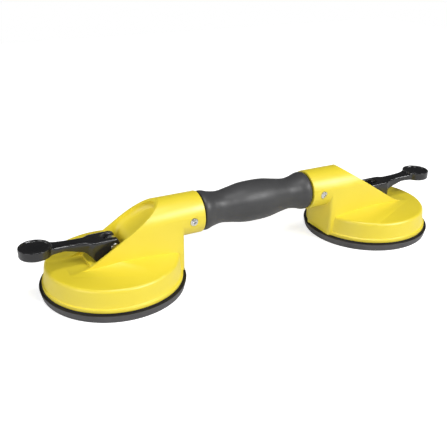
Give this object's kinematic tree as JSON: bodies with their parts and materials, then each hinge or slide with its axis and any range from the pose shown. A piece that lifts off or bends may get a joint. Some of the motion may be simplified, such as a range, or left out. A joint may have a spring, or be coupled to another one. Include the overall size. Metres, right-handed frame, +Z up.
{
  "type": "floor tile suction lifter",
  "caption": "Hand lifter with suction cups under a gripped bar; each lever swings down on a cam to pull up its pad and seal it on a smooth tile or glass.",
  "frame": {"origin": "on the floor, midway between the cups, under the middle of the handle", "axes": "+X along the handle, +Y to the back, +Z up"},
  "size_m": [0.41, 0.1206, 0.0692],
  "materials": {
    "yellow_plastic": "satin moulded ABS",
    "black_plastic": "gloss moulded nylon",
    "grip_rubber": "soft matte sleeve",
    "pad_rubber": "moulded rubber, smooth",
    "plated_steel": "zinc plated",
    "spring_steel": "oiled spring steel"
  },
  "bodies": {
    "frame": {"housing_left": "yellow_plastic", "housing_right": "yellow_plastic", "suction_pad_left": "pad_rubber", "suction_pad_right": "pad_rubber", "handle_tube": "plated_steel", "handle_grip": "grip_rubber", "socket_screws": "plated_steel"},
    "stem_left": {"pad_plate_left": "plated_steel", "stem_left": "plated_steel", "stem_washer_left": "plated_steel", "stem_nut_left": "plated_steel", "pivot_pin_left": "plated_steel", "pin_clip_left": "spring_steel"},
    "stem_right": {"pad_plate_right": "plated_steel", "stem_right": "plated_steel", "stem_washer_right": "plated_steel", "stem_nut_right": "plated_steel", "pivot_pin_right": "plated_steel", "pin_clip_right": "spring_steel"},
    "lever_left": {"lever_left": "black_plastic"},
    "lever_right": {"lever_right": "black_plastic"}
  },
  "joints": [
    {"name": "stem_left_slide", "type": "slide", "parent": "frame", "child": "stem_left", "axis": [0, 0, 1], "range_m": [-0.005, 0], "deforming": ["suction_pad_left"]},
    {"name": "lever_left_hinge", "type": "hinge", "parent": "stem_left", "child": "lever_left", "pos_m": [-0.1315, 0, 0.0382], "axis": [0, 1, 0], "range_deg": [0, 95]},
    {"name": "stem_right_slide", "type": "slide", "parent": "frame", "child": "stem_right", "axis": [0, 0, 1], "range_m": [-0.005, 0], "deforming": ["suction_pad_right"]},
    {"name": "lever_right_hinge", "type": "hinge", "parent": "stem_right", "child": "lever_right", "pos_m": [0.1315, 0, 0.0382], "axis": [0, -1, 0], "range_deg": [0, 95]}
  ],
  "couplings": [
    {"joint": "stem_left_slide", "follows": "lever_left_hinge", "m_per_rad": -0.0030156},
    {"joint": "stem_right_slide", "follows": "lever_right_hinge", "m_per_rad": -0.0030156}
  ]
}
